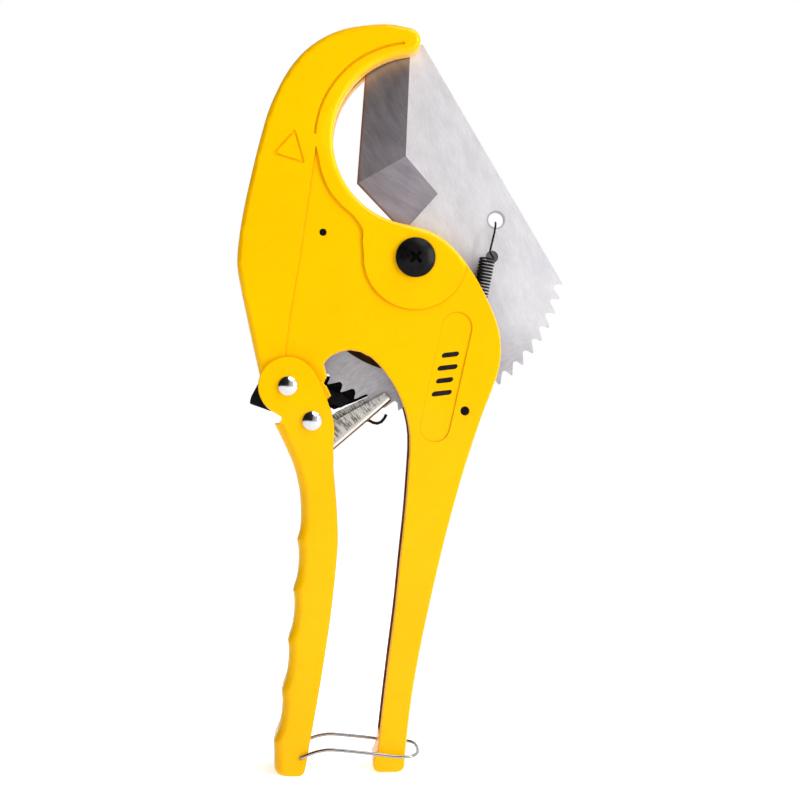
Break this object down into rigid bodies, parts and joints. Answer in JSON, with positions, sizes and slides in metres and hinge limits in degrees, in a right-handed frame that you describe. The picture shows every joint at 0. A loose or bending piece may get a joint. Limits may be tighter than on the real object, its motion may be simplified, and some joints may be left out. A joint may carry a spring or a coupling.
{
  "type": "ratchet pipe cutter",
  "caption": "Ratchet cutter for plastic pipe: cast hook body, toothed swinging blade, squeeze handle with drive pawl, release lever and wire bail.",
  "frame": {"origin": "middle of the tool's width and thickness, at the height of the moving handle's lower end", "axes": "+Z from the handle ends up to the hook, +X from the hook's back towards the blade's toothed side, +Y through the thickness from the screw-head side to the nut side"},
  "size_m": [0.1348, 0.0314, 0.3069],
  "materials": {
    "yellow_paint": "smooth glossy yellow powder coat",
    "blade_steel": "bead-blasted and lengthwise ground steel",
    "plain_steel": "plain turned steel",
    "black_oxide": "satin black oxide",
    "spring_steel": "oiled black spring wire",
    "chrome_plate": "bright chrome plate",
    "zinc_plate": "bright zinc plate with rolling marks",
    "polished_wire": "polished stainless spring wire"
  },
  "bodies": {
    "casting": {"body_casting": "yellow_paint", "pivot_screw": "black_oxide", "pivot_nut": "black_oxide", "pivot_bush": "plain_steel", "pivot_washer_front": "plain_steel", "pivot_washer_back": "plain_steel", "spring_anchor_pin": "black_oxide", "blade_stop_pin": "black_oxide", "return_spring": "spring_steel", "handle_rivet": "chrome_plate", "lever_spacer_front": "zinc_plate", "lever_spacer_back": "zinc_plate", "release_lever_spring": "spring_steel"},
    "cutting_blade": {"blade": "blade_steel"},
    "handle": {"moving_handle": "yellow_paint", "pawl_rivet": "chrome_plate", "pawl_spacer_front": "zinc_plate", "pawl_spacer_back": "zinc_plate", "drive_pawl_spring": "spring_steel"},
    "feed_pawl": {"drive_pawl": "zinc_plate"},
    "lever": {"release_lever": "black_oxide"},
    "bail": {"bail_wire": "polished_wire"}
  },
  "joints": [
    {"name": "blade_swing", "type": "hinge", "parent": "casting", "child": "cutting_blade", "pos_m": [0.0053, 0, 0.2112], "axis": [0, -1, 0], "range_deg": [-86.85, 17.37], "deforming": ["return_spring"]},
    {"name": "handle_swing", "type": "hinge", "parent": "casting", "child": "handle", "pos_m": [-0.0467, 0, 0.1586], "axis": [0, -1, 0], "range_deg": [-24, 0]},
    {"name": "drive_pawl_swing", "type": "hinge", "parent": "handle", "child": "feed_pawl", "pos_m": [-0.0369, 0, 0.1444], "axis": [0, -1, 0], "range_deg": [0, 36], "deforming": ["drive_pawl_spring"]},
    {"name": "release_lever_swing", "type": "hinge", "parent": "casting", "child": "lever", "pos_m": [-0.0467, 0, 0.1586], "axis": [0, -1, 0], "range_deg": [-10, 0], "stiffness_Nm_per_rad": 0.05, "springref_deg": 17.19, "deforming": ["release_lever_spring"]},
    {"name": "bail_swing", "type": "hinge", "parent": "handle", "child": "bail", "pos_m": [-0.0414, 0, 0.0076], "axis": [0, -1, 0], "range_deg": [-144, 0]}
  ],
  "couplings": [
    {"joint": "drive_pawl_swing", "follows": "handle_swing", "ratio": -1.5},
    {"joint": "bail_swing", "follows": "handle_swing", "ratio": 6}
  ]
}
